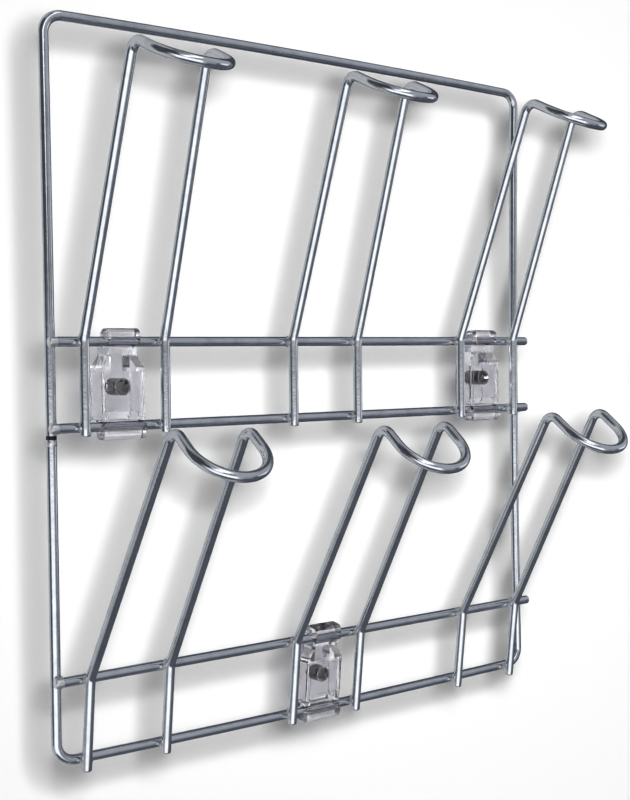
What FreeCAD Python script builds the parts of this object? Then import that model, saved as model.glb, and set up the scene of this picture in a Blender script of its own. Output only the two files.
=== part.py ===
import FreeCAD, Part
import Sketcher
import math
import os

# Wall rack of plated steel wire: a rectangular frame loop, three cross bars
# welded to its front, six looped hooks welded across pairs of bars and three
# clear moulded clips that hold the bars against the wall.
# Row frame: +X to the right, +Y into the wall, +Z up.  The origin lies on the
# wall plane, halfway between the two upper screw holes.

V = FreeCAD.Vector
doc = FreeCAD.newDocument("wall_hook_rack")

# ---------------------------------------------------------------- dimensions
sheet = doc.addObject("Spreadsheet::Sheet", "Dims")
CELLS = [
    ("wire_dia", 5.0, "diameter of every wire"),
    ("weld_sink", 0.1, "how far two wires sink into each other at a weld"),
    ("frame_width", 320.0, "frame loop, wire centre to wire centre"),
    ("frame_height", 362.0, "frame loop, wire centre to wire centre"),
    ("corner_radius", 9.5, "frame corner, at the wire's centre line"),
    ("frame_stand_off", 5.5, "wall plane to the frame wire's centre"),
    ("frame_bottom_z", -182.5, "height of the frame's bottom wire"),
    ("bar_length", 325.0, "cross bar, end to end"),
    ("bar_end_chamfer", 0.6, "broken edge at a bar's ends"),
    ("upper_bar_rise", 204.8, "upper bar above the frame's bottom wire"),
    ("middle_bar_rise", 163.2, "middle bar above the frame's bottom wire"),
    ("lower_bar_rise", 40.8, "lower bar above the frame's bottom wire"),
    ("hook_pitch", 124.0, "hook centre to hook centre"),
    ("leg_spacing", 44.5, "a hook's two legs, centre to centre, at the bars"),
    ("leg_tail", 4.2, "leg end below the axis of the bar it crosses last"),
    ("leg_bend_rise", 1.5, "leg's bend corner above the bar's axis"),
    ("leg_bend_radius", 9.0, "leg's bend, at the wire's centre line"),
    ("leg_splay", 1.0, "how far each leg leans inward, degrees"),
    ("lean_upper_left", 18.3, "bend of this hook's legs at the upper bar, degrees"),
    ("lean_upper_centre", 19.05, "the same"),
    ("lean_upper_right", 19.2, "the same"),
    ("lean_lower_left", 22.55, "bend of this hook's legs at the lower bar, degrees"),
    ("lean_lower_centre", 24.55, "the same"),
    ("lean_lower_right", 23.0, "the same"),
    ("swing_upper_left", 1.0, "how far this hook is set to the right, degrees"),
    ("swing_upper_centre", 0.5, "the same"),
    ("swing_upper_right", 3.1, "the same"),
    ("swing_lower_left", 2.0, "the same"),
    ("swing_lower_centre", -0.9, "the same"),
    ("swing_lower_right", -0.9, "the same"),
    ("leg_length", 141.7, "bend corner to shoulder corner, every hook"),
    ("shoulder_angle", 96.8, "turn from a leg into the loop, degrees"),
    ("shoulder_radius", 6.2, "shoulder bend, at the wire's centre line"),
    ("loop_straight", 15.1, "shoulder corner to the round of the loop"),
    ("clip_width", 23.5, "clip, at its body and lower jaw"),
    ("clip_tab_width", 17.5, "clip, at its upper jaw"),
    ("clip_neck_width", 15.0, "clip, just below its upper jaw"),
    ("clip_neck_low", 7.9, "where the neck starts to widen, below the upper bar"),
    ("clip_neck_high", 13.9, "where the body reaches full width, below the upper bar"),
    ("jaw_radius", 2.62, "seat of the wire in a jaw"),
    ("jaw_face", 5.0, "jaw's front face ahead of the wire's centre"),
    ("jaw_roof", 6.6, "jaw's outer face beyond the wire's centre"),
    ("jaw_back", 5.4, "jaw's back face behind the wire's centre"),
    ("jaw_lip", 1.5, "how far a lip passes the wire's centre"),
    ("jaw_round", 3.2, "outer rounding of a jaw"),
    ("body_gap", 2.9, "clip's body short of a bar's centre"),
    ("plate_face", 2.5, "clip's front plate ahead of the bars' centre line"),
    ("plate_thick", 2.0, "clip's front plate"),
    ("clip_side", 1.9, "clip's side walls"),
    ("clip_floor", 1.8, "clip's lower wall"),
    ("ramp_low", 6.0, "lower end of the thick part of the front plate"),
    ("ramp_high", 14.6, "upper end of the hollow behind the neck"),
    ("ramp_back", 2.5, "back of the thick part, behind the bars' centre line"),
    ("ramp_width", 10.5, "hollow behind the neck"),
    ("window_low", 17.8, "slot over the lower bar, lower edge below the middle"),
    ("window_high", 13.6, "slot over the lower bar, upper edge below the middle"),
    ("window_width", 17.5, "slot over the lower bar"),
    ("panel_width", 18.5, "sunk panel of the front plate"),
    ("panel_depth", 0.5, "sunk panel of the front plate"),
    ("panel_high", 5.2, "sunk panel, upper edge"),
    ("panel_low", 12.0, "sunk panel, lower edge below the middle"),
    ("screw_drop", 1.5, "screw hole below the clip's middle"),
    ("screw_radius", 2.3, "screw hole"),
    ("boss_radius", 4.3, "tube round the screw hole"),
    ("sink_radius", 4.3, "countersink at the front face"),
    ("sink_depth", 2.0, "countersink"),
]
for row, (name, value, note) in enumerate(CELLS, start=1):
    sheet.set("A%d" % row, name)
    sheet.set("B%d" % row, str(value))
    sheet.set("C%d" % row, note)
    sheet.setAlias("B%d" % row, name)
doc.recompute()


def cell(name):
    return float(sheet.get(name))


def dim(expr):
    """Turns the words of an expression that name cells into Dims.word."""
    out, word = [], ""
    names = set(c[0] for c in CELLS)
    for ch in expr + " ":
        if ch.isalnum() or ch == "_":
            word += ch
            continue
        if word:
            out.append("Dims." + word if word in names else word)
            word = ""
        out.append(ch)
    return "".join(out).strip()


def plane(body, role):
    for feature in body.Origin.OriginFeatures:
        if feature.Role == role:
            return feature
    raise RuntimeError("no plane " + role)


def new_body(label):
    body = doc.addObject("PartDesign::Body", label)
    body.Label = label
    return body


def sketch_on(body, role, name):
    sk = body.newObject("Sketcher::SketchObject", name)
    sk.AttachmentSupport = [(plane(body, role), "")]
    sk.MapMode = "FlatFace"
    return sk


def pin(sk, geo, pos, ex, ey, gx, gy):
    """Holds one point at (ex, ey), both expressions of the sheet."""
    i = sk.addConstraint(Sketcher.Constraint("DistanceX", geo, pos, gx))
    sk.setExpression("Constraints[%d]" % i, dim(ex))
    i = sk.addConstraint(Sketcher.Constraint("DistanceY", geo, pos, gy))
    sk.setExpression("Constraints[%d]" % i, dim(ey))


def polygon(sk, pts):
    """Closed outline of straight edges; pts = [(ex, ey, gx, gy)]."""
    n = len(pts)
    ids = []
    for k in range(n):
        a, b = pts[k], pts[(k + 1) % n]
        ids.append(sk.addGeometry(Part.LineSegment(V(a[2], a[3], 0), V(b[2], b[3], 0)), False))
    for k in range(n):
        sk.addConstraint(Sketcher.Constraint("Coincident", ids[k], 2, ids[(k + 1) % n], 1))
    for k in range(n):
        a = pts[k]
        pin(sk, ids[k], 1, a[0], a[1], a[2], a[3])
    return ids


def circle(sk, ex, ey, er, gx, gy, gr):
    g = sk.addGeometry(Part.Circle(V(gx, gy, 0), V(0, 0, 1), gr), False)
    i = sk.addConstraint(Sketcher.Constraint("Radius", g, gr))
    sk.setExpression("Constraints[%d]" % i, dim(er))
    pin(sk, g, 3, ex, ey, gx, gy)
    return g


DIA = cell("wire_dia")
STEP = DIA - cell("weld_sink")
BOT = cell("frame_bottom_z")
Y_FRAME = -cell("frame_stand_off")
Y_BAR = Y_FRAME - STEP


# ---------------------------------------------------------------- frame loop
def make_frame():
    body = new_body("frame_loop")
    path = sketch_on(body, "XZ_Plane", "frame_path")
    w, hh, r = cell("frame_width") / 2, cell("frame_height"), cell("corner_radius")
    lo, hi = BOT, BOT + hh
    # start at the butt weld in the middle of the bottom wire
    corner = [
        (V(0, lo, 0), V(w - r, lo, 0)),
        (V(w, lo + r, 0), V(w, hi - r, 0)),
        (V(w - r, hi, 0), V(-w + r, hi, 0)),
        (V(-w, hi - r, 0), V(-w, lo + r, 0)),
        (V(-w + r, lo, 0), V(0, lo, 0)),
    ]
    names = [
        (("0 * wire_dia", "frame_bottom_z"), ("frame_width / 2 - corner_radius", "frame_bottom_z")),
        (("frame_width / 2", "frame_bottom_z + corner_radius"),
         ("frame_width / 2", "frame_bottom_z + frame_height - corner_radius")),
        (("frame_width / 2 - corner_radius", "frame_bottom_z + frame_height"),
         ("corner_radius - frame_width / 2", "frame_bottom_z + frame_height")),
        (("0 - frame_width / 2", "frame_bottom_z + frame_height - corner_radius"),
         ("0 - frame_width / 2", "frame_bottom_z + corner_radius")),
        (("corner_radius - frame_width / 2", "frame_bottom_z"), ("0 * wire_dia", "frame_bottom_z")),
    ]
    centres = [(w - r, lo + r, -90), (w - r, hi - r, 0), (-w + r, hi - r, 90), (-w + r, lo + r, 180)]
    lines, arcs = [], []
    for a, b in corner:
        lines.append(path.addGeometry(Part.LineSegment(a, b), False))
    for cx, cy, start in centres:
        s0 = math.radians(start)
        arcs.append(path.addGeometry(
            Part.ArcOfCircle(Part.Circle(V(cx, cy, 0), V(0, 0, 1), r), s0, s0 + math.pi / 2), False))
    for k in range(4):
        path.addConstraint(Sketcher.Constraint("Coincident", lines[k], 2, arcs[k], 1))
        path.addConstraint(Sketcher.Constraint("Coincident", arcs[k], 2, lines[k + 1], 1))
        i = path.addConstraint(Sketcher.Constraint("Radius", arcs[k], r))
        path.setExpression("Constraints[%d]" % i, dim("corner_radius"))
    for k in range(5):
        a, b = corner[k]
        na, nb = names[k]
        pin(path, lines[k], 1, na[0], na[1], a.x, a.y)
        pin(path, lines[k], 2, nb[0], nb[1], b.x, b.y)
    path.AttachmentOffset = FreeCAD.Placement(V(0, 0, -Y_FRAME), FreeCAD.Rotation())
    path.setExpression("AttachmentOffset.Base.z", dim("frame_stand_off"))
    prof = sketch_on(body, "YZ_Plane", "frame_section")
    circle(prof, "0 - frame_stand_off", "frame_bottom_z", "wire_dia / 2", Y_FRAME, BOT, DIA / 2)
    doc.recompute()
    pipe = body.newObject("PartDesign::AdditivePipe", "frame_pipe")
    pipe.Profile = (prof, [""])
    pipe.Spine = (path, ["Edge%d" % (k + 1) for k in range(9)])
    doc.recompute()
    return body


# ---------------------------------------------------------------- cross bars
def make_bar(label, rise):
    body = new_body(label)
    sk = sketch_on(body, "YZ_Plane", label + "_section")
    circle(sk, "weld_sink - frame_stand_off - wire_dia", "frame_bottom_z + " + rise, "wire_dia / 2",
           Y_BAR, BOT + cell(rise), DIA / 2)
    pad = body.newObject("PartDesign::Pad", label + "_pad")
    pad.Profile = sk
    pad.Midplane = True
    pad.setExpression("Length", dim("bar_length"))
    doc.recompute()
    edges = ["Edge%d" % (k + 1) for k, e in enumerate(pad.Shape.Edges)
             if abs(e.BoundBox.XMax - e.BoundBox.XMin) < 1e-6]
    ch = body.newObject("PartDesign::Chamfer", label + "_ends")
    ch.Base = (pad, edges)
    ch.setExpression("Size", dim("bar_end_chamfer"))
    doc.recompute()
    return body


# --------------------------------------------------------------------- hooks
def rounded(points, radii):
    """Edges of a path through points, with a tangent arc at each inner one."""
    edges, last = [], points[0]
    for k in range(1, len(points) - 1):
        p, a, b = points[k], points[k - 1], points[k + 1]
        ta, tb = (a - p).normalize(), (b - p).normalize()
        half = ta.getAngle(tb) / 2
        cut = radii[k - 1] / math.tan(half)
        s0, s1 = p + ta * cut, p + tb * cut
        mid = (ta + tb).normalize()
        centre = p + mid * (radii[k - 1] / math.sin(half))
        top = centre - mid * radii[k - 1]
        edges.append(Part.LineSegment(last, s0).toShape())
        edges.append(Part.Arc(s0, top, s1).toShape())
        last = s1
    return edges, last


def make_hook(label, column, top_bar, lower_row):
    """One wire: leg, shoulder, loop, shoulder, leg."""
    xc = column * cell("hook_pitch")
    half = cell("leg_spacing") / 2
    place = label.replace("hook_", "")
    lean, swing = cell("lean_" + place), cell("swing_" + place)
    top = V(0, Y_BAR, BOT + cell(top_bar))
    if lower_row:
        low = V(0, Y_FRAME, BOT)
    else:
        low = V(0, Y_BAR, BOT + cell("middle_bar_rise"))
    along = (top - low).normalize()
    ahead = V(0, -along.z, along.y)
    start = low + ahead * STEP - along * cell("leg_tail")
    bend = top + ahead * STEP + along * cell("leg_bend_rise")
    tilt = math.atan2(-along.y, along.z) + math.radians(lean)
    splay = math.radians(cell("leg_splay"))
    length = cell("leg_length")
    rise = V(0, -math.sin(tilt), math.cos(tilt))
    shoulder = bend + rise * (length * math.cos(splay))
    turn = tilt + math.radians(cell("shoulder_angle"))
    fore = V(0, -math.sin(turn), math.cos(turn))
    span = half - length * math.sin(splay)
    a_end = shoulder + fore * cell("loop_straight")
    nose = a_end + fore * span
    # above its bend the hook is set a little to one side, in the plane of its legs
    set_over = FreeCAD.Rotation(rise.cross(V(1, 0, 0)), swing)

    def fixed(v, s):
        return V(s, v.y, v.z)

    def swung(v, s):
        return bend + set_over.multVec(V(s, v.y, v.z) - bend)

    radii = [cell("leg_bend_radius"), cell("shoulder_radius")]
    pl = [fixed(start, -half), fixed(bend, -half), swung(shoulder, -span), swung(a_end, -span)]
    pr = [fixed(start, half), fixed(bend, half), swung(shoulder, span), swung(a_end, span)]
    edges, last = rounded(pl, radii)
    edges.append(Part.LineSegment(last, pl[-1]).toShape())
    edges.append(Part.Arc(pl[-1], swung(nose, 0), pr[-1]).toShape())
    back, last = rounded(pr, radii)
    back.append(Part.LineSegment(last, pr[-1]).toShape())
    edges += back[::-1]
    path = Part.Wire(Part.__sortEdges__(edges))
    section = Part.Wire(Part.Circle(pl[0], along, DIA / 2).toShape())
    solid = path.makePipeShell([section], True, False)
    want = math.pi * DIA * DIA / 4 * path.Length
    if abs(solid.Volume / want - 1) > 0.005:
        raise RuntimeError("%s volume %.1f, section times length %.1f" % (label, solid.Volume, want))
    obj = doc.addObject("Part::Feature", label)
    obj.Label = label
    obj.Shape = solid
    obj.Placement = FreeCAD.Placement(V(xc, 0, 0), FreeCAD.Rotation())
    obj.setExpression("Placement.Base.x", dim("%d * hook_pitch" % column))
    return obj


# --------------------------------------------------------------------- clips
def make_clip(label, column, top_bar, low_bar):
    """Moulded clip: body between the two bars, a jaw over each of them.

    A point is given by u, along the line from the lower bar's centre to the
    upper one's, from its middle, and v, square to it and away from the wall.
    """
    if low_bar:
        y_top = "(weld_sink - frame_stand_off - wire_dia)"
        y_low = y_top
        z_low = "(frame_bottom_z + %s)" % low_bar
        yl, zl = Y_BAR, BOT + cell(low_bar)
    else:
        y_top = "(weld_sink - frame_stand_off - wire_dia)"
        y_low = "(0 - frame_stand_off)"
        z_low = "(frame_bottom_z)"
        yl, zl = Y_FRAME, BOT
    z_top = "(frame_bottom_z + %s)" % top_bar
    yt, zt = Y_BAR, BOT + cell(top_bar)
    span = math.hypot(zt - zl, yt - yl)
    e_span = "(sqrt((%s - %s) ^ 2 + (%s - %s) ^ 2))" % (z_top, z_low, y_top, y_low)
    e_s = "((%s - %s) / %s)" % (y_low, y_top, e_span)
    e_c = "((%s - %s) / %s)" % (z_top, z_low, e_span)
    e_ym = "((%s + %s) / 2)" % (y_top, y_low)
    e_zm = "((%s + %s) / 2)" % (z_top, z_low)
    s, c = (yl - yt) / span, (zt - zl) / span
    ym, zm = (yt + yl) / 2, (zt + zl) / 2
    a = span / 2
    e_a = "(%s / 2)" % e_span

    def num(expr):
        env = dict((n[0], n[1]) for n in CELLS)
        env["A"] = a
        total, sign = 0.0, 1.0
        for tok in expr.replace("(", " ").replace(")", " ").split():
            if tok == "+":
                sign = 1.0
            elif tok == "-":
                sign = -1.0
            else:
                total += sign * (env[tok] if tok in env else float(tok))
                sign = 1.0
        return total

    def at(eu, ev):
        """Sketch point on the YZ plane for u and v, sums of cells and A."""
        u, v = num(eu), num(ev)
        fu, fv = "(%s)" % eu.replace("A", e_a), "(%s)" % ev.replace("A", e_a)
        ex = "%s - %s * %s - %s * %s" % (e_ym, fu, e_s, fv, e_c)
        ey = "%s + %s * %s - %s * %s" % (e_zm, fu, e_c, fv, e_s)
        return (ex, ey, ym - u * s - v * c, zm + u * c - v * s)

    def wall(p, behind=False):
        """The point of the wall plane at the height of p."""
        return ("0 * wire_dia" if not behind else "2 * wire_dia", p[1],
                2 * DIA if behind else 0.0, p[3])

    body = new_body(label)
    side = sketch_on(body, "YZ_Plane", label + "_side")
    up_in = at("A - body_gap", "0 - jaw_back")
    lo_in = at("body_gap - A", "0 - jaw_back")
    outline = [
        at("A - jaw_lip", "jaw_face"),
        at("A + jaw_roof", "jaw_face"),
        at("A + jaw_roof", "0 - jaw_back"),
        up_in,
        wall(up_in),
        wall(lo_in),
        lo_in,
        at("0 - A - jaw_roof", "0 - jaw_back"),
        at("0 - A - jaw_roof", "jaw_face"),
        at("jaw_lip - A", "jaw_face"),
        at("jaw_lip - A", "jaw_radius"),
        at("0 - A", "jaw_radius"),
        at("0 - A", "0 - jaw_radius"),
        at("body_gap - A", "0 - jaw_radius"),
        at("body_gap - A", "plate_face"),
        at("A - body_gap", "plate_face"),
        at("A - body_gap", "0 - jaw_radius"),
        at("A + 0", "0 - jaw_radius"),
        at("A + 0", "jaw_radius"),
        at("A - jaw_lip", "jaw_radius"),
    ]
    if not low_bar:
        # the frame's bottom wire lies close to the wall, so this jaw's back is the wall plane
        flat_top = wall(at("body_gap - A", "0 - jaw_radius"))
        flat_low = wall(at("0 - A - jaw_roof", "0 - jaw_radius"))
        outline[5:8] = [flat_low]
    polygon(side, outline)
    pad = body.newObject("PartDesign::Pad", label + "_pad")
    pad.Profile = side
    pad.Midplane = True
    pad.setExpression("Length", dim("clip_width"))
    doc.recompute()

    # seats of the two wires
    for tag, eu in (("top", "A + 0"), ("low", "0 - A")):
        seat = sketch_on(body, "YZ_Plane", "%s_seat_%s" % (label, tag))
        p = at(eu, "0")
        circle(seat, p[0], p[1], "jaw_radius", p[2], p[3], cell("jaw_radius"))
        cut = body.newObject("PartDesign::Pocket", "%s_seat_cut_%s" % (label, tag))
        cut.Profile = seat
        cut.Midplane = True
        cut.setExpression("Length", dim("clip_width + 2"))
        doc.recompute()

    # neck and upper jaw narrower than the body, seen from the front
    front = sketch_on(body, "XZ_Plane", label + "_front")
    for sgn in (1, -1):
        w0, w1, w2 = "%d * clip_width" % sgn, "%d * clip_neck_width / 2" % sgn, "%d * clip_tab_width / 2" % sgn
        b0, b1, b2 = sgn * cell("clip_width"), sgn * cell("clip_neck_width") / 2, sgn * cell("clip_tab_width") / 2
        half = "%d * clip_width / 2" % sgn
        bh = sgn * cell("clip_width") / 2

        def z(eu):
            u = num(eu)
            return ("%s + (%s)" % (e_zm, eu.replace("A", e_a)), zm + u)

        z1, z2, z3, z4 = z("clip_neck_low + 0"), z("clip_neck_high + 0"), z("A - body_gap"), z("A + 20")
        pts = [(w0, z1[0], b0, z1[1]), (half, z1[0], bh, z1[1]), (w1, z2[0], b1, z2[1]),
               (w1, z3[0], b1, z3[1]), (w2, z3[0], b2, z3[1]), (w2, z4[0], b2, z4[1]), (w0, z4[0], b0, z4[1])]
        polygon(front, pts)
    cut = body.newObject("PartDesign::Pocket", label + "_front_cut")
    cut.Profile = front
    cut.Midplane = True
    cut.Type = 0
    cut.setExpression("Length", dim("20 * wire_dia"))
    doc.recompute()

    # hollow behind the front plate, open to the wall
    hollow = sketch_on(body, "YZ_Plane", label + "_hollow")
    p1, p2 = at("ramp_low + 0", "plate_face - plate_thick"), at("clip_floor + body_gap - A", "plate_face - plate_thick")
    polygon(hollow, [p1, p2, wall(p2, True), wall(p1, True)])
    cut = body.newObject("PartDesign::Pocket", label + "_hollow_cut")
    cut.Profile = hollow
    cut.Midplane = True
    cut.setExpression("Length", dim("clip_width - 2 * clip_side"))
    doc.recompute()
    neck = sketch_on(body, "YZ_Plane", label + "_neck")
    p1, p2 = at("ramp_high + 0", "0 - ramp_back"), at("ramp_low - 0.01", "0 - ramp_back")
    polygon(neck, [p1, p2, wall(p2, True), wall(p1, True)])
    cut = body.newObject("PartDesign::Pocket", label + "_neck_cut")
    cut.Profile = neck
    cut.Midplane = True
    cut.setExpression("Length", dim("ramp_width"))
    doc.recompute()

    # slot over the lower bar, with an arched upper edge
    slot = sketch_on(body, "XZ_Plane", label + "_slot")

    def zz(eu):
        return ("%s + (%s)" % (e_zm, eu), zm + num(eu))
    hw = cell("window_width") / 2
    q0, q1, q2 = zz("0 - window_low"), zz("0 - window_high - 0.9"), zz("0 - window_high")
    pts = [("0 - window_width / 2", q0[0], -hw, q0[1]), ("window_width / 2", q0[0], hw, q0[1]),
           ("window_width / 2", q1[0], hw, q1[1]), ("window_width / 2 - 2", q2[0], hw - 2, q2[1]),
           ("2 - window_width / 2", q2[0], 2 - hw, q2[1]), ("0 - window_width / 2", q1[0], -hw, q1[1])]
    polygon(slot, pts)
    cut = body.newObject("PartDesign::Pocket", label + "_slot_cut")
    cut.Profile = slot
    cut.Midplane = True
    cut.setExpression("Length", dim("20 * wire_dia"))
    doc.recompute()

    # sunk panel of the front plate
    panel = sketch_on(body, "YZ_Plane", label + "_panel")
    polygon(panel, [at("panel_high + 0", "plate_face + 1"), at("0 - panel_low", "plate_face + 1"),
                    at("0 - panel_low", "plate_face - panel_depth"), at("panel_high + 0", "plate_face - panel_depth")])
    cut = body.newObject("PartDesign::Pocket", label + "_panel_cut")
    cut.Profile = panel
    cut.Midplane = True
    cut.setExpression("Length", dim("panel_width"))
    doc.recompute()

    # tube for the screw, from the front plate to the wall, then its hole
    e_zs = "%s - screw_drop" % e_zm
    zs = zm - cell("screw_drop")
    boss = sketch_on(body, "XZ_Plane", label + "_boss")
    circle(boss, "0 * wire_dia", e_zs, "boss_radius", 0, zs, cell("boss_radius"))
    pad = body.newObject("PartDesign::Pad", label + "_boss_pad")
    pad.Profile = boss
    pad.setExpression("Length", dim("0 - %s + plate_face - plate_thick + 0.5" % e_ym))
    pad.Reversed = False
    doc.recompute()
    hole = sketch_on(body, "XZ_Plane", label + "_hole")
    circle(hole, "0 * wire_dia", e_zs, "screw_radius", 0, zs, cell("screw_radius"))
    cut = body.newObject("PartDesign::Pocket", label + "_hole_cut")
    cut.Profile = hole
    cut.Midplane = True
    cut.setExpression("Length", dim("20 * wire_dia"))
    doc.recompute()
    # countersink, a groove turned round the screw's axis
    ysurf = ym - cell("plate_face") + cell("panel_depth")
    e_ys = "%s - plate_face + panel_depth" % e_ym
    sink = sketch_on(body, "YZ_Plane", label + "_sink")
    tri = [(e_ys + " - 1.5", e_zs, ysurf - 1.5, zs),
           (e_ys + " - 1.5", e_zs + " + sink_radius + 1.5", ysurf - 1.5, zs + cell("sink_radius") + 1.5),
           (e_ys, e_zs + " + sink_radius", ysurf, zs + cell("sink_radius")),
           (e_ys + " + sink_depth", e_zs + " + screw_radius", ysurf + cell("sink_depth"), zs + cell("screw_radius")),
           (e_ys + " + sink_depth", e_zs, ysurf + cell("sink_depth"), zs)]
    ids = polygon(sink, tri)
    axis = sink.addGeometry(Part.LineSegment(V(ysurf - 3, zs, 0), V(ysurf + 3, zs, 0)), True)
    sink.addConstraint(Sketcher.Constraint("Horizontal", axis))
    pin(sink, axis, 1, e_ys + " - 3", e_zs, ysurf - 3, zs)
    i = sink.addConstraint(Sketcher.Constraint("DistanceX", axis, 1, axis, 2, 6.0))
    doc.recompute()
    groove = body.newObject("PartDesign::Groove", label + "_sink_cut")
    groove.Profile = sink
    groove.ReferenceAxis = (sink, ["Axis0"])
    groove.Angle = 360.0
    doc.recompute()

    # rounded outer corners of both jaws
    def corner_edges(shape, pts, tol=0.05):
        found = []
        for k, e in enumerate(shape.Edges):
            bb = e.BoundBox
            if bb.YLength < 1e-4 and bb.ZLength < 1e-4 and bb.XLength > 5:
                for py, pz in pts:
                    if abs(bb.Center.y - py) < tol and abs(bb.Center.z - pz) < tol:
                        found.append("Edge%d" % (k + 1))
        return found

    def yz(eu, ev):
        p = at(eu, ev)
        return (p[2], p[3])

    pts = [yz("A + jaw_roof", "jaw_face"), yz("A + jaw_roof", "0 - jaw_back"),
           yz("0 - A - jaw_roof", "jaw_face")]
    if low_bar:
        pts.append(yz("0 - A - jaw_roof", "0 - jaw_back"))
    base = body.Tip
    names = corner_edges(base.Shape, pts)
    fil = body.newObject("PartDesign::Fillet", label + "_rounds")
    fil.Base = (base, names)
    fil.setExpression("Radius", dim("jaw_round"))
    doc.recompute()

    # corners of the tab and of the lower jaw, seen from the front
    base = body.Tip
    names = []
    for k, e in enumerate(base.Shape.Edges):
        bb = e.BoundBox
        if bb.XLength < 1e-4 and bb.ZLength < 1.2 and bb.YLength > 1.0:
            edge_z = bb.Center.z
            top_z = base.Shape.BoundBox.ZMax
            low_z = base.Shape.BoundBox.ZMin
            if edge_z > top_z - 0.8 or edge_z < low_z + 0.8:
                names.append("Edge%d" % (k + 1))
    print(label, "corner edges", names)
    if names:
        rnd = body.newObject("PartDesign::Fillet", label + "_corners")
        rnd.Base = (base, names)
        rnd.Radius = 1.2
        doc.recompute()
        if rnd.Shape.isNull() or not rnd.Shape.isValid() or "Invalid" in rnd.State:
            raise RuntimeError(label + ": corner rounds failed")
    if column:
        body.Placement = FreeCAD.Placement(V(column * cell("hook_pitch"), 0, 0), FreeCAD.Rotation())
        body.setExpression("Placement.Base.x", dim("%d * hook_pitch" % column))
    doc.recompute()
    return body


parts = [make_frame(),
         make_bar("crossbar_upper", "upper_bar_rise"),
         make_bar("crossbar_middle", "middle_bar_rise"),
         make_bar("crossbar_lower", "lower_bar_rise"),
         make_hook("hook_upper_left", -1, "upper_bar_rise", False),
         make_hook("hook_upper_centre", 0, "upper_bar_rise", False),
         make_hook("hook_upper_right", 1, "upper_bar_rise", False),
         make_hook("hook_lower_left", -1, "lower_bar_rise", True),
         make_hook("hook_lower_centre", 0, "lower_bar_rise", True),
         make_hook("hook_lower_right", 1, "lower_bar_rise", True),
         make_clip("wall_clip_left", -1, "upper_bar_rise", "middle_bar_rise"),
         make_clip("wall_clip_right", 1, "upper_bar_rise", "middle_bar_rise"),
         make_clip("wall_clip_lower", 0, "lower_bar_rise", None)]
doc.recompute()

# ------------------------------------------------------------------- checks
bad = [o.Label for o in doc.Objects if "Invalid" in o.State or "Error" in o.State]
if bad:
    raise RuntimeError("failed objects: " + ", ".join(bad))
os.makedirs("parts", exist_ok=True)
for obj in parts:
    shape = obj.Shape
    if shape.isNull() or not shape.isValid() or len(shape.Solids) != 1:
        raise RuntimeError("bad shape: %s, solids %d" % (obj.Label, len(shape.Solids)))
for obj in parts:
    shape = obj.Shape
    bb = shape.BoundBox
    print("%-18s volume %9.1f  x %.1f..%.1f y %.1f..%.1f z %.1f..%.1f" % (
        obj.Label, shape.Volume, bb.XMin, bb.XMax, bb.YMin, bb.YMax, bb.ZMin, bb.ZMax))
    shape.exportStep("parts/" + obj.Label + ".step")
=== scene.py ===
import math
import bmesh
import bpy
from mathutils import Matrix, Vector, noise


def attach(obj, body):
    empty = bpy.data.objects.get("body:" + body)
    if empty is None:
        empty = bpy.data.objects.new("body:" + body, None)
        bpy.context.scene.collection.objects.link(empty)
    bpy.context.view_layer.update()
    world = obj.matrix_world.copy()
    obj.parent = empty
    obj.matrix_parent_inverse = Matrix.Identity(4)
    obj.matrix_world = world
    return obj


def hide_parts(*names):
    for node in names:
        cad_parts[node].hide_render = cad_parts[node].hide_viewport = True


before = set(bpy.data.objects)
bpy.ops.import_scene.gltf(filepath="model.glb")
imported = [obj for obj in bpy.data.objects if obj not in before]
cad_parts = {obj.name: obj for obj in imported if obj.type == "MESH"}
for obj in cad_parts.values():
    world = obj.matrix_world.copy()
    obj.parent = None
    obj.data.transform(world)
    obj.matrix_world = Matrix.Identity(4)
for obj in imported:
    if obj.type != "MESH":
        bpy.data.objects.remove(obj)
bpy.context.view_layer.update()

MM = 0.001
scene = bpy.context.scene

# ------------------------------------------------------------- dimensions, mm
R = 2.495                                 # wire radius
Y_FRAME, Y_BAR, BOTTOM, TOP = -5.5, -10.4, -182.5, 179.5
STEP = 4.9                                # from one welded wire's centre to the next
FRAME_HALF, BAR_HALF, CORNER = 160.0, 162.5, 9.5
BARS = {"upper": 22.3, "middle": -19.3, "lower": -141.7}
PITCH, LEG_HALF, LEG = 124.0, 22.25, 141.7
LEAN = {"upper": {"left": 18.3, "centre": 19.05, "right": 19.2},
        "lower": {"left": 22.55, "centre": 24.55, "right": 23.0}}
SWING = {"upper": {"left": 1.0, "centre": 0.5, "right": 3.1},
         "lower": {"left": 2.0, "centre": -0.9, "right": -0.9}}


# ------------------------------------------------------------------ wire paths
def unit(v):
    return v.normalized()


def run(out, a, b, step):
    n = max(1, int((b - a).length / step))
    t = unit(b - a)
    for i in range(n):
        out.append((a + (b - a) * (i / n), t))


def rounded(points, radii, step=4.0, deg=4.0):
    """Points with rounded corners, as (place, direction) along the line."""
    out, last = [], points[0]
    for k in range(1, len(points) - 1):
        p, a, b = points[k], points[k - 1], points[k + 1]
        ta, tb = unit(a - p), unit(b - p)
        half = ta.angle(tb) / 2
        cut = radii[k - 1] / math.tan(half)
        s0, s1 = p + ta * cut, p + tb * cut
        run(out, last, s0, step)
        c = p + unit(ta + tb) * (radii[k - 1] / math.sin(half))
        turn = math.pi - 2 * half
        e0, e1 = unit(s0 - c), -ta
        n = max(4, int(math.degrees(turn) / deg))
        for i in range(n):
            f = turn * i / n
            out.append((c + (e0 * math.cos(f) + e1 * math.sin(f)) * radii[k - 1],
                        e1 * math.cos(f) - e0 * math.sin(f)))
        last = s1
    run(out, last, points[-1], step)
    out.append((points[-1], unit(points[-1] - last)))
    return out


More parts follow.
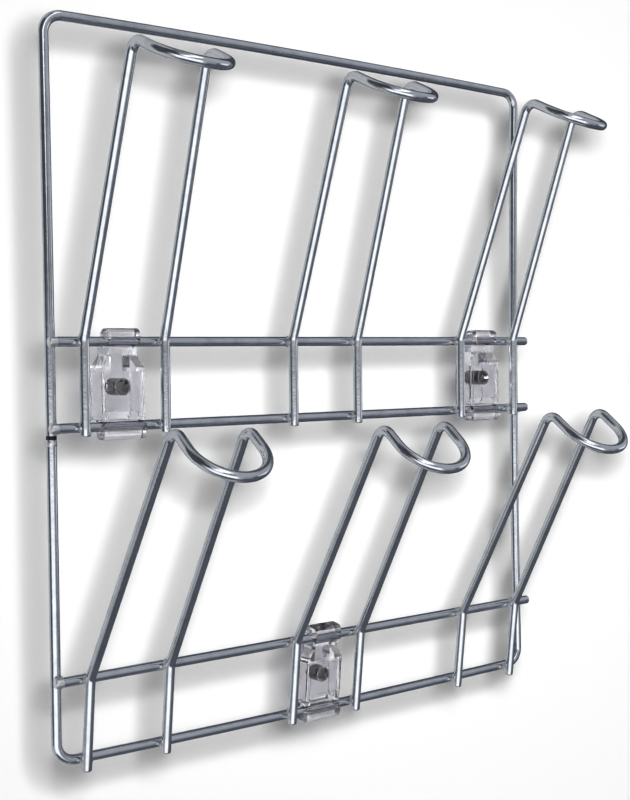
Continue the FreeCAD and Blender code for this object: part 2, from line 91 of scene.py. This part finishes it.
def hook_frame(row, place):
    """The lines of one hook: where the legs start, bend, turn into the loop and how the loop lies."""
    top = Vector((0, Y_BAR, BARS["upper"] if row == "upper" else BARS["lower"]))
    low = Vector((0, Y_BAR, BARS["middle"])) if row == "upper" else Vector((0, Y_FRAME, BOTTOM))
    along = unit(top - low)
    ahead = Vector((0, -along.z, along.y))
    start = low + ahead * STEP - along * 4.2
    bend = top + ahead * STEP + along * 1.5
    tilt = math.atan2(-along.y, along.z) + math.radians(LEAN[row][place])
    rise = Vector((0, -math.sin(tilt), math.cos(tilt)))
    shoulder = bend + rise * (LEG * math.cos(math.radians(1.0)))
    turn = tilt + math.radians(96.8)
    fore = Vector((0, -math.sin(turn), math.cos(turn)))
    span = LEG_HALF - LEG * math.sin(math.radians(1.0))
    return start, bend, shoulder, fore, span, along, ahead, top, low


COLUMN = {"left": -1, "centre": 0, "right": 1}


def hook_path(row, place):
    start, bend, shoulder, fore, span, *_ = hook_frame(row, place)
    xc = PITCH * COLUMN[place]
    # above its bend the hook is set a little to one side, in the plane of its legs
    axis = unit(shoulder - bend).cross(Vector((1, 0, 0)))
    over = Matrix.Rotation(math.radians(SWING[row][place]), 3, axis)

    def at(v, s):
        return Vector((xc + s, v.y, v.z))

    def aside(v, s):
        return Vector((xc, 0, 0)) + bend + over @ (Vector((s, v.y, v.z)) - bend)
    a_end = shoulder + fore * 15.1
    radii = [9.0, 6.2]
    left = rounded([at(start, -LEG_HALF), at(bend, -LEG_HALF), aside(shoulder, -span), aside(a_end, -span)], radii)
    right = rounded([at(start, LEG_HALF), at(bend, LEG_HALF), aside(shoulder, span), aside(a_end, span)], radii)
    loop = []
    n = 54
    for i in range(1, n):
        f = math.pi * i / n
        v = a_end + fore * (span * math.sin(f))
        t = over @ (Vector((math.sin(f), 0, 0)) + fore * math.cos(f))
        loop.append((aside(v, -span * math.cos(f)), unit(t)))
    return left + loop + [(p, -t) for p, t in right[::-1]]


# ------------------------------------------------------------------ mesh tools
def new_object(name, verts, faces, smooth=True):
    me = bpy.data.meshes.new(name)
    me.from_pydata([v * MM for v in verts], [], faces)
    me.validate()
    me.update()
    if smooth:
        for p in me.polygons:
            p.use_smooth = True
    ob = bpy.data.objects.new(name, me)
    scene.collection.objects.link(ob)
    return ob


def sweep(name, path, closed=False, seed=0, around=40, cut=None):
    """A round wire along a path. Drawn wire is never quite even, so its radius wanders by a few hundredths."""
    verts, faces, rings, uv = [], [], [], []
    # carry one cross direction along the path without twist
    t0 = path[0][1]
    side = Vector((1, 0, 0)) if abs(t0.x) < 0.9 else Vector((0, 1, 0))
    side = unit(side - t0 * side.dot(t0))
    s = 0.0
    prev_p, prev_t = path[0]
    stations = []
    for p, t in path:
        q = prev_t.rotation_difference(t)
        side = unit(q @ side)
        side = unit(side - t * side.dot(t))
        s += (p - prev_p).length
        stations.append((p, t, side.copy(), s))
        prev_p, prev_t = p, t
    full = s

    def ring(p, t, sd, s, scale, wander=True):
        up = t.cross(sd)
        base = len(verts)
        for j in range(around):
            a = 2 * math.pi * j / around
            r = R * scale
            if wander:
                c = Vector((math.cos(a) * 0.5, math.sin(a) * 0.5, s * 0.045 + seed * 7.3))
                r *= 1 - 0.0045 * (0.5 + 0.5 * noise.noise(c * 1.6))
            verts.append(p + (sd * math.cos(a) + up * math.sin(a)) * r)
        rings.append((base, s))

    if not closed:
        # cut end: a broken edge and a slightly domed face
        p, t, sd, _ = stations[0]
        for back, sc in ((0.0, 0.30), (0.0, 0.62), (0.05, 0.80), (0.18, 0.90), (0.42, 0.965), (0.8, 0.992)):
            ring(p + t * back, t, sd, back, sc)
        body = [st for st in stations[1:-1] if 1.4 < st[3] < full - 1.4]
        for q, t, sd, s in body:
            ring(q, t, sd, s, 1.0)
        p, t, sd, _ = stations[-1]
        for back, sc in ((0.8, 0.992), (0.42, 0.965), (0.18, 0.90), (0.05, 0.80), (0.0, 0.62), (0.0, 0.30)):
            ring(p - t * back, t, sd, full - back, sc)
    else:
        for q, t, sd, s in stations[:-1]:
            ring(q, t, sd, s, 1.0)
    n = len(rings)
    count = n if closed else n - 1
    shift = 0
    if closed:
        # match the last ring to the first
        b0, bn = rings[0][0], rings[-1][0]
        d = [sum((verts[b0 + (j + k) % around] - verts[bn + j]).length for j in range(around)) for k in range(around)]
        shift = d.index(min(d))
    for i in range(count):
        a = rings[i][0]
        b = rings[(i + 1) % n][0]
        k = shift if (closed and i == n - 1) else 0
        for j in range(around):
            j2 = (j + 1) % around
            faces.append((a + j, a + j2, b + (j2 + k) % around, b + (j + k) % around))
    if not closed:
        a = rings[0][0]
        c = len(verts)
        verts.append(stations[0][0] - stations[0][1] * 0.0)
        for j in range(around):
            faces.append((a + (j + 1) % around, a + j, c))
        b = rings[-1][0]
        c = len(verts)
        verts.append(stations[-1][0])
        for j in range(around):
            faces.append((b + j, b + (j + 1) % around, c))
    ob = new_object(name, verts, faces)
    bm = bmesh.new()
    bm.from_mesh(ob.data)
    bmesh.ops.recalc_face_normals(bm, faces=bm.faces)
    bm.to_mesh(ob.data)
    bm.free()
    return ob


def weld(centre, da, db, out, size, seed):
    """Metal squeezed out round a resistance weld between two crossing wires.

    centre is on the contact, da and db are the wires' directions, out points from
    the wire that runs along da to the one that runs along db.
    """
    verts, faces = [], []
    around, levels = 28, 7
    sink = R - 0.05
    for j in range(around):
        f = 2 * math.pi * j / around
        wob = noise.noise(Vector((math.cos(f) * 1.3, math.sin(f) * 1.3, seed * 3.17)))
        rho = size * (1 + 0.30 * wob)
        a, b = rho * math.cos(f), rho * math.sin(f)
        z0 = -sink + math.sqrt(max(R * R - b * b, 0.01)) - 0.12
        z1 = sink - math.sqrt(max(R * R - a * a, 0.01)) + 0.12
        for i in range(levels):
            t = i / (levels - 1)
            bulge = 1 - 0.10 * math.sin(math.pi * t) + 0.07 * noise.noise(Vector((a, b, t * 2 + seed)))
            flare = 1 + 0.10 * (2 * t - 1) ** 2
            verts.append(centre + (da * a + db * b) * (bulge * flare) + out * (z0 + (z1 - z0) * t))
    for j in range(around):
        k = (j + 1) % around
        for i in range(levels - 1):
            faces.append((j * levels + i, k * levels + i, k * levels + i + 1, j * levels + i + 1))
    lo, hi = len(verts), len(verts) + 1
    verts.append(centre - out * 0.3)
    verts.append(centre + out * 0.3)
    for j in range(around):
        k = (j + 1) % around
        faces.append((k * levels, j * levels, lo))
        faces.append((j * levels + levels - 1, k * levels + levels - 1, hi))
    return verts, faces


def join_parts(name, parts):
    verts, faces = [], []
    for v, f in parts:
        n = len(verts)
        verts += v
        faces += [tuple(i + n for i in q) for q in f]
    ob = new_object(name, verts, faces)
    bm = bmesh.new()
    bm.from_mesh(ob.data)
    bmesh.ops.recalc_face_normals(bm, faces=bm.faces)
    bm.to_mesh(ob.data)
    bm.free()
    return ob


# ------------------------------------------------------------------- materials
class Nodes:
    def __init__(self, tree):
        self.t = tree
        tree.nodes.clear()

    def add(self, kind, inputs=None, **props):
        n = self.t.nodes.new(kind)
        for k, v in props.items():
            setattr(n, k, v)
        for k, v in (inputs or {}).items():
            if isinstance(v, bpy.types.NodeSocket):
                self.t.links.new(v, n.inputs[k])
            else:
                n.inputs[k].default_value = v
        return n

    def math(self, op, a, b=0.0, clamp=False):
        n = self.add("ShaderNodeMath", operation=op, use_clamp=clamp)
        for i, v in enumerate((a, b)):
            if isinstance(v, bpy.types.NodeSocket):
                self.t.links.new(v, n.inputs[i])
            else:
                n.inputs[i].default_value = v
        return n.outputs[0]

    def ramp(self, fac, stops):
        n = self.add("ShaderNodeValToRGB", {"Fac": fac})
        cr = n.color_ramp
        while len(cr.elements) < len(stops):
            cr.elements.new(0.5)
        for e, (pos, col) in zip(cr.elements, stops):
            e.position = pos
            e.color = (*col, 1.0) if len(col) == 3 else col
        return n.outputs["Color"]


def chrome(name, tint, rough, grain, dull=0.0):
    """Bright plating on drawn wire: faint draw lines, a fine orange peel and cloudy patches."""
    m = bpy.data.materials.new(name)
    m.use_nodes = True
    g = Nodes(m.node_tree)
    co = g.add("ShaderNodeTexCoord").outputs["Object"]
    cloud = g.add("ShaderNodeTexNoise", {"Vector": co, "Scale": 90.0, "Detail": 3.0, "Roughness": 0.6})
    fine = g.add("ShaderNodeTexNoise", {"Vector": co, "Scale": 900.0, "Detail": 4.0, "Roughness": 0.62})
    pits = g.add("ShaderNodeTexVoronoi", {"Vector": co, "Scale": 1300.0})
    peel = g.add("ShaderNodeTexNoise", {"Vector": co, "Scale": 420.0, "Detail": 2.0, "Roughness": 0.5})
    lo = [c * 0.90 for c in tint]
    hi = [min(1.0, c * 1.04) for c in tint]
    col = g.ramp(cloud.outputs["Fac"], [(0.30, lo), (0.52, tint), (0.72, hi)])
    spots = g.ramp(pits.outputs["Distance"], [(0.0, [c * 0.80 for c in tint]), (0.10, [1.0, 1.0, 1.0])])
    mixed = g.add("ShaderNodeMix", data_type="RGBA", blend_type="MULTIPLY")
    mixed.inputs["Factor"].default_value = 0.5
    g.t.links.new(col, mixed.inputs["A"])
    g.t.links.new(spots, mixed.inputs["B"])
    ro = g.add("ShaderNodeMapRange", {"Value": fine.outputs["Fac"], "From Min": 0.3, "From Max": 0.7,
                                      "To Min": rough * 0.75, "To Max": rough * 1.35})
    ro2 = g.add("ShaderNodeMapRange", {"Value": cloud.outputs["Fac"], "From Min": 0.55, "From Max": 0.8,
                                       "To Min": 0.0, "To Max": 0.10 + dull})
    rsum = g.math("ADD", ro.outputs[0], ro2.outputs[0])
    b1 = g.add("ShaderNodeBump", {"Height": peel.outputs["Fac"], "Strength": 0.35 * grain, "Distance": 0.00010})
    b2 = g.add("ShaderNodeBump", {"Height": fine.outputs["Fac"], "Strength": 0.5 * grain, "Distance": 0.00006,
                                  "Normal": b1.outputs["Normal"]})
    p = g.add("ShaderNodeBsdfPrincipled", {"Metallic": 1.0, "Base Color": mixed.outputs["Result"],
                                           "Roughness": rsum, "Normal": b2.outputs["Normal"]})
    out = g.add("ShaderNodeOutputMaterial", {"Surface": p.outputs[0]})
    return m


def clear_plastic(name, shade=1.0):
    """Clear moulded plastic: glassy, faintly grey, with flow waves and a few scuffs. A shade below 1 darkens the tint
    as painted shade.
    """
    m = bpy.data.materials.new(name)
    m.use_nodes = True
    g = Nodes(m.node_tree)
    co = g.add("ShaderNodeTexCoord").outputs["Object"]
    flow = g.add("ShaderNodeTexNoise", {"Vector": co, "Scale": 120.0, "Detail": 2.0, "Roughness": 0.5, "Distortion": 0.4})
    scuff = g.add("ShaderNodeTexNoise", {"Vector": co, "Scale": 1500.0, "Detail": 5.0, "Roughness": 0.7})
    col = g.ramp(flow.outputs["Fac"], [(0.3, (0.84 * shade, 0.835 * shade, 0.87 * shade)),
                                       (0.55, (0.89 * shade, 0.885 * shade, 0.915 * shade)),
                                       (0.75, (0.93 * shade, 0.925 * shade, 0.95 * shade))])
    ro = g.add("ShaderNodeMapRange", {"Value": scuff.outputs["Fac"], "From Min": 0.35, "From Max": 0.75,
                                      "To Min": 0.05, "To Max": 0.18})
    b1 = g.add("ShaderNodeBump", {"Height": flow.outputs["Fac"], "Strength": 0.35, "Distance": 0.0006})
    b2 = g.add("ShaderNodeBump", {"Height": scuff.outputs["Fac"], "Strength": 0.25, "Distance": 0.00004,
                                  "Normal": b1.outputs["Normal"]})
    p = g.add("ShaderNodeBsdfPrincipled", {"Base Color": col, "Roughness": ro.outputs[0], "Normal": b2.outputs["Normal"],
                                           "Transmission Weight": 1.0, "IOR": 1.40, "Metallic": 0.0})
    # clear plastic throws a pale shadow, not a black one
    thin = g.add("ShaderNodeBsdfTransparent", {"Color": (0.86 * shade, 0.86 * shade, 0.88 * shade, 1.0)})
    mix = g.add("ShaderNodeMixShader", {0: g.add("ShaderNodeLightPath").outputs["Is Shadow Ray"], 1: p.outputs[0], 2: thin.outputs[0]})
    g.add("ShaderNodeOutputMaterial", {"Surface": mix.outputs[0]})
    return m


WIRE = chrome("bright_wire", (0.80, 0.815, 0.84), 0.085, 1.0)
WELD = chrome("weld_flash", (0.93, 0.935, 0.945), 0.34, 3.4, 0.1)
WELD_DARK_BAND = chrome("weld_dark_band", (0.10, 0.10, 0.11), 0.40, 2.0, 0.1)
CLEAR = clear_plastic("clear_moulding")
# painted shade: dark tinted plastic for the faces round the screw hole, standing in for the shade seen in it
HOLE_PAINTED_SHADE = clear_plastic("clear_moulding_painted_shade_round_the_screw_hole", 0.24)
# painted shade: darker tinted plastic for the jaws' top and underside
JAW_PAINTED_SHADE = clear_plastic("clear_moulding_painted_shade_at_the_jaws", 0.52)


def put(ob, mat, slot, *nodes):
    ob.data.materials.clear()
    ob.data.materials.append(mat)
    if nodes:
        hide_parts(*nodes)
    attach(ob, "root")
    return ob


# ----------------------------------------------------------------- wire pieces
def v3(x, y, z):
    return Vector((x, y, z))


corner = [v3(0, Y_FRAME, TOP), v3(-FRAME_HALF, Y_FRAME, TOP), v3(-FRAME_HALF, Y_FRAME, BOTTOM),
          v3(FRAME_HALF, Y_FRAME, BOTTOM), v3(FRAME_HALF, Y_FRAME, TOP), v3(0, Y_FRAME, TOP)]


def bowed(p):
    """The sides of the bent frame are not quite straight: a millimetre or so of bow each."""
    u, w = p.x / FRAME_HALF, (p.z - (TOP + BOTTOM) / 2) / ((TOP - BOTTOM) / 2)
    out = p.copy()
    if w > 0:
        out.z -= (1.3 * u * u + 0.7 * u + 0.2) * max(0.0, w) ** 6
    else:
        out.z += 1.2 * (u * u - 0.25) * max(0.0, -w) ** 6
    if u > 0:
        out.x -= (1.2 + 1.9 * (1 - w * w)) * u ** 6
    else:
        out.x += 0.4 * (1 - w * w) * u ** 6
    return out


ring = [(bowed(p), t) for p, t in rounded(corner, [CORNER] * 4)]
ring = [(p, unit(ring[(i + 1) % (len(ring) - 1)][0] - ring[i - 1 if i else len(ring) - 2][0])) for i, (p, t) in enumerate(ring)]
put(sweep("frame_loop_wire", ring, closed=True, seed=1), WIRE, "wire", "frame_loop")
for k, (bar, z) in enumerate(BARS.items()):
    path = rounded([v3(-BAR_HALF, Y_BAR, z), v3(BAR_HALF, Y_BAR, z)], [])
    ob = put(sweep("crossbar_%s_wire" % bar, path, seed=2 + k), WIRE, "wire", "crossbar_" + bar)
    # the left ends are scorched white and rough where they were welded
    ob.data.materials.append(WELD)
    for p in ob.data.polygons:
        if p.center.x < (-FRAME_HALF + 2.6 + 1.2 * noise.noise(Vector((p.center.y, p.center.z, k)) * 900)) * MM:
            p.material_index = 1
for row in ("upper", "lower"):
    for place in COLUMN:
        name = "hook_%s_%s" % (row, place)
        put(sweep(name + "_wire", hook_path(row, place), seed=len(name) + COLUMN[place] * 3), WIRE, "wire", name)

# ----------------------------------------------------------------------- welds
flash, seed = [], 0
X = Vector((1, 0, 0))
for z in BARS.values():
    for s in (-1, 1):
        seed += 1
        mid = bowed(v3(s * FRAME_HALF, (Y_FRAME + Y_BAR) / 2, z))
        flash.append(weld(v3(mid.x - 0.9 * s, mid.y, z), Vector((0, 0, 1)), X, Vector((0, -1, 0)), 2.5, seed))
put(join_parts("welds_frame", flash), WELD, "wire")


def collar(centre, profile, seed, around=32):
    """A lumpy ring round an upright wire; profile lists (height, radius)."""
    verts, faces = [], []
    for h, r in profile:
        for j in range(around):
            f = 2 * math.pi * j / around
            d = Vector((math.cos(f), math.sin(f), 0))
            lump = 0.09 * noise.noise(Vector((d.x * 1.7, d.y * 1.7, h * 0.9 + seed)))
            verts.append(centre + d * (r + lump * (r > R)) + Vector((0, 0, h)))
    n = len(profile)
    for i in range(n - 1):
        for j in range(around):
            k = (j + 1) % around
            faces.append((i * around + j, i * around + k, (i + 1) * around + k, (i + 1) * around + j))
    for row in (0, n - 1):
        c = len(verts)
        verts.append(centre + Vector((0, 0, profile[row][0])))
        for j in range(around):
            faces.append((row * around + (j + 1) % around, row * around + j, c))
    return verts, faces


# the frame's butt weld, on the left upright just under the middle bar
butt = bowed(v3(-FRAME_HALF, Y_FRAME, -26.2))
put(join_parts("weld_frame_joint", [collar(butt, [(-2.2, 2.3), (-1.6, 2.58), (-0.9, 2.74), (0.1, 2.78), (0.8, 2.66), (1.2, 2.3)], 5.0)]), WELD, "wire")
# a dark ring just above the butt weld's collar
put(join_parts("weld_frame_joint_dark_band", [collar(butt + v3(0, 0, 2.4), [(-1.1, 2.3), (-1.0, 2.53), (0.9, 2.53), (1.0, 2.3)], 9.0)]), WELD_DARK_BAND, "wire")
for row in ("upper", "lower"):
    flash = []
    for place in COLUMN:
        start, bend, shoulder, fore, span, along, ahead, top, low = hook_frame(row, place)
        for c in (top, low):
            for s in (-1, 1):
                seed += 1
                mid = c + ahead * (STEP / 2)
                flash.append(weld(v3(PITCH * COLUMN[place] + s * LEG_HALF, mid.y, mid.z), X, along, ahead, 2.45, seed))
    put(join_parts("welds_%s_hooks" % row, flash), WELD, "wire")

# ----------------------------------------------------------------------- clips
JAWS = {"left": (BARS["upper"], BARS["middle"]), "right": (BARS["upper"], BARS["middle"]), "lower": (BARS["lower"], BOTTOM)}
SCREWS = {"left": (-124.0, 0.0), "right": (124.0, 0.0), "lower": (0.0, -163.6)}
for place in ("left", "right", "lower"):
    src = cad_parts["wall_clip_" + place]
    me = src.data.copy()
    ob = bpy.data.objects.new("clip_" + place, me)
    scene.collection.objects.link(ob)
    bm = bmesh.new()
    bm.from_mesh(me)
    bmesh.ops.remove_doubles(bm, verts=bm.verts, dist=1e-6)
    bmesh.ops.dissolve_limit(bm, angle_limit=math.radians(1.5), verts=bm.verts, edges=bm.edges, use_dissolve_boundaries=False)
    bm.to_mesh(me)
    bm.free()
    for a in list(me.attributes):
        if a.name in ("custom_normal", "sharp_face", "sharp_edge"):
            me.attributes.remove(a)
    bev = ob.modifiers.new("soft_edges", "BEVEL")
    bev.width = 0.35 * MM
    bev.segments = 3
    bev.limit_method = "ANGLE"
    bev.angle_limit = math.radians(28)
    bev.use_clamp_overlap = True
    bev.harden_normals = True
    for p in me.polygons:
        p.use_smooth = True
    put(ob, CLEAR, "clip", "wall_clip_" + place)
    # painted shade: faces round the screw hole get a dark tinted plastic, and the jaws' top and underside a darker
    # tinted one
    me.materials.append(HOLE_PAINTED_SHADE)
    me.materials.append(JAW_PAINTED_SHADE)
    hole = SCREWS[place]
    for p in me.polygons:
        far = max(math.hypot(me.vertices[i].co.x - hole[0] * MM, me.vertices[i].co.z - hole[1] * MM) for i in p.vertices)
        zs = [me.vertices[i].co.z / MM for i in p.vertices]
        if far < 4.5 * MM:
            p.material_index = 1
        # painted shade on the jaws' top and underside
        elif min(zs) > JAWS[place][0] + 4.4 or max(zs) < JAWS[place][1] - 4.4:
            p.material_index = 2

# ----------------------------------------------------------------------- stage
CAM = Vector((-0.41925, -0.56076, 0.01247))
yaw, pitch, roll = math.radians(37.020), math.radians(-1.869), math.radians(-0.691)
fw = Vector((math.sin(yaw) * math.cos(pitch), math.cos(yaw) * math.cos(pitch), math.sin(pitch)))
rt = Vector((math.cos(yaw), -math.sin(yaw), 0))
up = rt.cross(fw)
rt2 = rt * math.cos(roll) + up * math.sin(roll)
up2 = up * math.cos(roll) - rt * math.sin(roll)
cam_data = bpy.data.cameras.new("camera")
cam_data.sensor_fit = "AUTO"
cam_data.sensor_width = 36.0
cam_data.lens = 1248.7 / 800.0 * 36.0
cam_data.clip_start, cam_data.clip_end = 0.01, 50.0
cam = bpy.data.objects.new("camera", cam_data)
scene.collection.objects.link(cam)
m = Matrix((rt2, up2, -fw)).transposed().to_4x4()
m.translation = CAM
cam.matrix_world = m
scene.camera = cam


def plain(name, value, glow=0.0):
    mt = bpy.data.materials.new(name)
    mt.use_nodes = True
    g = Nodes(mt.node_tree)
    n = g.add("ShaderNodeTexNoise", {"Scale": 3.0})
    c = g.ramp(n.outputs["Fac"], [(0.3, (value * 0.995,) * 3), (0.7, (value,) * 3)])
    d = g.add("ShaderNodeBsdfDiffuse", {"Color": c})
    if glow:
        seen = g.math("MULTIPLY", g.add("ShaderNodeLightPath").outputs["Is Camera Ray"], glow)
        e = g.add("ShaderNodeEmission", {"Color": (0.97, 0.975, 1.0, 1.0), "Strength": seen})
        d = g.add("ShaderNodeAddShader", {0: d.outputs[0], 1: e.outputs[0]})
    g.add("ShaderNodeOutputMaterial", {"Surface": d.outputs[0]})
    return mt


def card(name, centre, u, v, mat):
    me = bpy.data.meshes.new(name)
    me.from_pydata([centre - u - v, centre + u - v, centre + u + v, centre - u + v], [], [(0, 1, 2, 3)])
    ob = bpy.data.objects.new(name, me)
    scene.collection.objects.link(ob)
    me.materials.append(mat)
    ob.visible_glossy = False
    return ob


pale = plain("pale_paper", 0.9)
level_fw = unit(Vector((fw.x, fw.y, 0)))
wall = card("backdrop", CAM + level_fw * 3.0 + Vector((0, 0, 0.5)), Vector((level_fw.y, -level_fw.x, 0)) * 4.0, Vector((0, 0, 1.62)), pale)
floor = card("floor", Vector((0, 0, -1.12)), Vector((6, 0, 0)), Vector((0, 6, 0)), plain("pale_floor", 0.5, 0.62))
floor.visible_diffuse = False

# a small key lamp beside the lens, even at any distance, for the soft shadow on the paper
key_data = bpy.data.lights.new("key", "POINT")
key_data.shadow_soft_size = 0.0118
key_data.energy = 10.0
key_data.use_nodes = True
g = Nodes(key_data.node_tree)
fall = g.add("ShaderNodeLightFalloff", {"Strength": 4.4})
e = g.add("ShaderNodeEmission", {"Strength": fall.outputs["Constant"]})
g.add("ShaderNodeOutputLight", {"Surface": e.outputs[0]})
key = bpy.data.objects.new("key", key_data)
scene.collection.objects.link(key)
key.location = CAM + rt2 * 0.0098 + up2 * 0.0098
key.visible_glossy = False
key.visible_camera = False

# ---------------------------------------------------------------- surroundings
world = bpy.data.worlds.new("studio")
scene.world = world
world.use_nodes = True
g = Nodes(world.node_tree)
tc = g.add("ShaderNodeTexCoord").outputs["Generated"]
sep = g.add("ShaderNodeSeparateXYZ", {"Vector": tc})
az = g.math("MULTIPLY", g.math("ARCTAN2", sep.outputs["X"], g.math("MULTIPLY", sep.outputs["Y"], -1.0)), 180 / math.pi)
el = g.math("MULTIPLY", g.math("ARCSINE", sep.outputs["Z"]), 180 / math.pi)


def step_up(value, edge, soft):
    n = g.add("ShaderNodeMapRange", {"Value": value, "From Min": edge - soft, "From Max": edge + soft,
                                     "To Min": 0.0, "To Max": 1.0}, interpolation_type="SMOOTHSTEP")
    return n.outputs[0]


def zone(a0, a1, e0, e1, soft_a=6.0, soft_e=4.0, turn=0.0, pivot=(0, 0)):
    ua, ue = az, el
    if turn:
        c, s = math.cos(math.radians(turn)), math.sin(math.radians(turn))
        da, de = g.math("SUBTRACT", az, pivot[0]), g.math("SUBTRACT", el, pivot[1])
        ua = g.math("ADD", g.math("MULTIPLY", da, c), g.math("MULTIPLY", de, s))
        ue = g.math("SUBTRACT", g.math("MULTIPLY", de, c), g.math("MULTIPLY", da, s))
    m1 = g.math("MULTIPLY", step_up(ua, a0, soft_a), g.math("SUBTRACT", 1.0, step_up(ua, a1, soft_a)))
    m2 = g.math("MULTIPLY", step_up(ue, e0, soft_e), g.math("SUBTRACT", 1.0, step_up(ue, e1, soft_e)))
    return g.math("MULTIPLY", m1, m2)


base = g.add("ShaderNodeRGB")
base.outputs[0].default_value = (0.50, 0.51, 0.53, 1)
light = base.outputs[0]
ZONES = [
    # azimuth from, to, elevation from, to, colour, softness az, el
    (-180, -112, -60, 60, (0.62, 0.63, 0.65), 14, 10),
    (-116, -74, -20, 62, (0.125, 0.135, 0.155), 8, 6),
    (-80, -34, 2, 66, (0.115, 0.12, 0.14), 8, 5),
    (-40, 12, 60, 90, (0.17, 0.18, 0.20), 10, 6),
    (-34, 8, 1, 18, (0.24, 0.25, 0.27), 8, 4),
    (-66, 10, -43, -3, (1.20, 1.22, 1.25), 7, 4),
    (-100, 26, -88, -47, (0.17, 0.18, 0.205), 10, 5),
    (24, 100, 2, 62, (0.50, 0.52, 0.56), 7, 10),
    (24, 66, -62, 4, (0.40, 0.42, 0.46), 7, 10),
    (46, 110, -62, 4, (0.19, 0.20, 0.235), 7, 9),
    (24, 110, -75, -26, (0.17, 0.18, 0.21), 7, 10),
    (58, 88, -9, 9, (0.98, 1.0, 1.03), 6, 5),
    (98, 146, -60, 75, (0.12, 0.13, 0.15), 8, 10),
]
for a0, a1, e0, e1, col, sa, se in ZONES:
    mx = g.add("ShaderNodeMix", {"Factor": zone(a0, a1, e0, e1, sa, se)}, data_type="RGBA")
    g.t.links.new(light, mx.inputs["A"])
    mx.inputs["B"].default_value = (*col, 1)
    light = mx.outputs["Result"]
mx = g.add("ShaderNodeMix", {"Factor": zone(-44, 44, -9, 9, 8, 4, 38.0, (0, 36))}, data_type="RGBA")
g.t.links.new(light, mx.inputs["A"])
mx.inputs["B"].default_value = (1.4, 1.42, 1.45, 1)
light = mx.outputs["Result"]

lp = g.add("ShaderNodeLightPath")
gloss_bg = g.add("ShaderNodeBackground", {"Color": light, "Strength": 1.0})
soft_bg = g.add("ShaderNodeBackground", {"Color": (1, 1, 1, 1), "Strength": 0.02})
seen_bg = g.add("ShaderNodeBackground", {"Color": (1, 1, 1, 1), "Strength": 1.0})
mix1 = g.add("ShaderNodeMixShader", {"Fac": lp.outputs["Is Diffuse Ray"]})
g.t.links.new(seen_bg.outputs[0], mix1.inputs[1])
g.t.links.new(soft_bg.outputs[0], mix1.inputs[2])
mix2 = g.add("ShaderNodeMixShader", {"Fac": lp.outputs["Is Glossy Ray"]})
g.t.links.new(mix1.outputs[0], mix2.inputs[1])
g.t.links.new(gloss_bg.outputs[0], mix2.inputs[2])
g.add("ShaderNodeOutputWorld", {"Surface": mix2.outputs[0]})

scene.view_settings.view_transform = "Standard"
scene.view_settings.look = "None"
scene.view_settings.exposure = 0.0
scene.view_settings.gamma = 0.70

bpy.context.view_layer.update()
